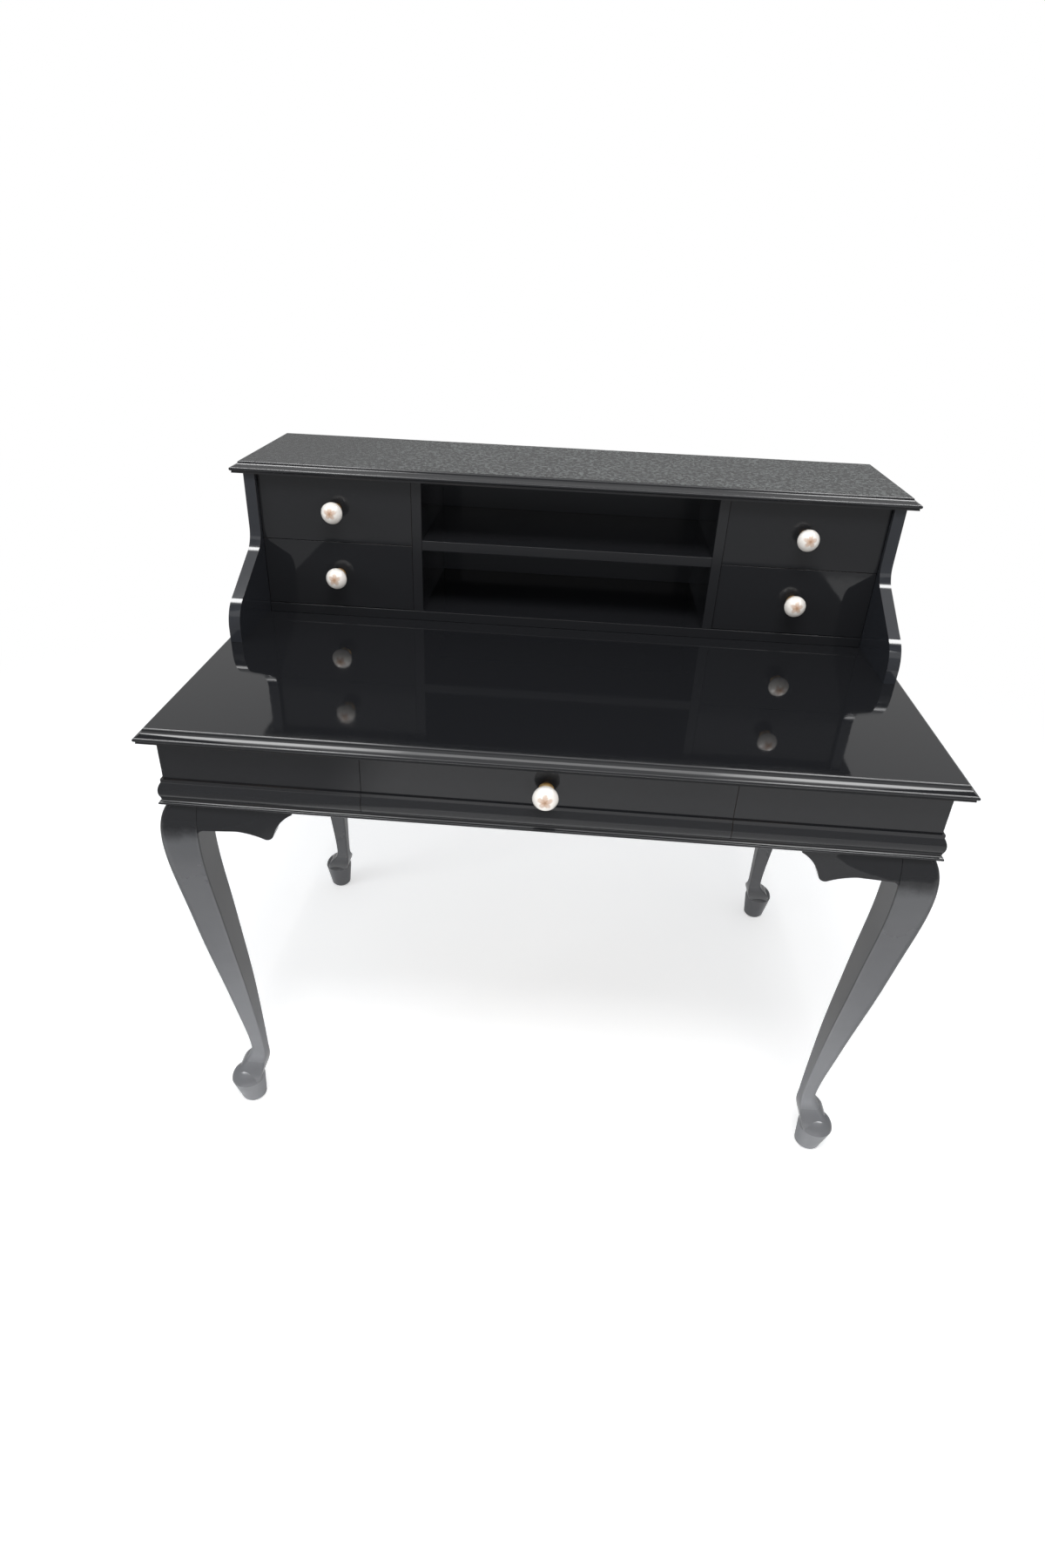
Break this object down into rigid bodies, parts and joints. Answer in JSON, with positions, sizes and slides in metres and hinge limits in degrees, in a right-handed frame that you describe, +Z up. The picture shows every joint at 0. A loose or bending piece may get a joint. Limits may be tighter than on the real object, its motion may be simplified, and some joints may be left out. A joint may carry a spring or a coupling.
{
  "type": "writing desk",
  "caption": "Black lacquered writing desk on cabriole legs with an apron drawer and a low gallery of small drawers and pigeonholes between S-curved sides.",
  "frame": {"origin": "on the floor at the centre of the bounding box, knobs included", "axes": "+X to the desk's right as seen from the sitter's side, +Y to the back, +Z up"},
  "size_m": [1.14, 0.788, 1.0505],
  "materials": {
    "lacquer": "gloss",
    "drawer_wood": "satin",
    "brass": "polished",
    "china": "gloss",
    "steel": "satin"
  },
  "bodies": {
    "carcass": {"apron_back": "lacquer", "apron_front_left": "lacquer", "apron_front_right": "lacquer", "apron_left": "lacquer", "apron_right": "lacquer", "centre_shelf": "lacquer", "cleat_left": "drawer_wood", "cleat_right": "drawer_wood", "desk_top": "lacquer", "divider_left": "lacquer", "divider_right": "lacquer", "dust_board_left": "drawer_wood", "dust_board_right": "drawer_wood", "ears_back_left": "lacquer", "ears_back_right": "lacquer", "ears_front_left": "lacquer", "ears_front_right": "lacquer", "gallery_back": "lacquer", "gallery_base": "lacquer", "gallery_cap": "lacquer", "gallery_screws": "steel", "gallery_side_left": "lacquer", "gallery_side_right": "lacquer", "leg_back_left": "lacquer", "leg_back_right": "lacquer", "leg_front_left": "lacquer", "leg_front_right": "lacquer", "lip_front": "lacquer", "lip_left": "lacquer", "lip_right": "lacquer", "runner_left": "drawer_wood", "runner_right": "drawer_wood", "top_screws": "steel"},
    "centre_drawer": {"centre_back": "drawer_wood", "centre_bottom": "drawer_wood", "centre_collar": "brass", "centre_front": "lacquer", "centre_knob": "china", "centre_side_left": "drawer_wood", "centre_side_right": "drawer_wood"},
    "lower_left_drawer": {"lower_left_bottom": "drawer_wood", "lower_left_box": "drawer_wood", "lower_left_collar": "brass", "lower_left_front": "lacquer", "lower_left_knob": "china"},
    "lower_right_drawer": {"lower_right_bottom": "drawer_wood", "lower_right_box": "drawer_wood", "lower_right_collar": "brass", "lower_right_front": "lacquer", "lower_right_knob": "china"},
    "upper_left_drawer": {"upper_left_bottom": "drawer_wood", "upper_left_box": "drawer_wood", "upper_left_collar": "brass", "upper_left_front": "lacquer", "upper_left_knob": "china"},
    "upper_right_drawer": {"upper_right_bottom": "drawer_wood", "upper_right_box": "drawer_wood", "upper_right_collar": "brass", "upper_right_front": "lacquer", "upper_right_knob": "china"}
  },
  "joints": [
    {"name": "centre_drawer_slide", "type": "slide", "parent": "carcass", "child": "centre_drawer", "axis": [0, -1, 0], "range_m": [0, 0.3]},
    {"name": "upper_left_drawer_slide", "type": "slide", "parent": "carcass", "child": "upper_left_drawer", "axis": [0, -1, 0], "range_m": [0, 0.16]},
    {"name": "lower_left_drawer_slide", "type": "slide", "parent": "carcass", "child": "lower_left_drawer", "axis": [0, -1, 0], "range_m": [0, 0.16]},
    {"name": "upper_right_drawer_slide", "type": "slide", "parent": "carcass", "child": "upper_right_drawer", "axis": [0, -1, 0], "range_m": [0, 0.16]},
    {"name": "lower_right_drawer_slide", "type": "slide", "parent": "carcass", "child": "lower_right_drawer", "axis": [0, -1, 0], "range_m": [0, 0.16]}
  ]
}
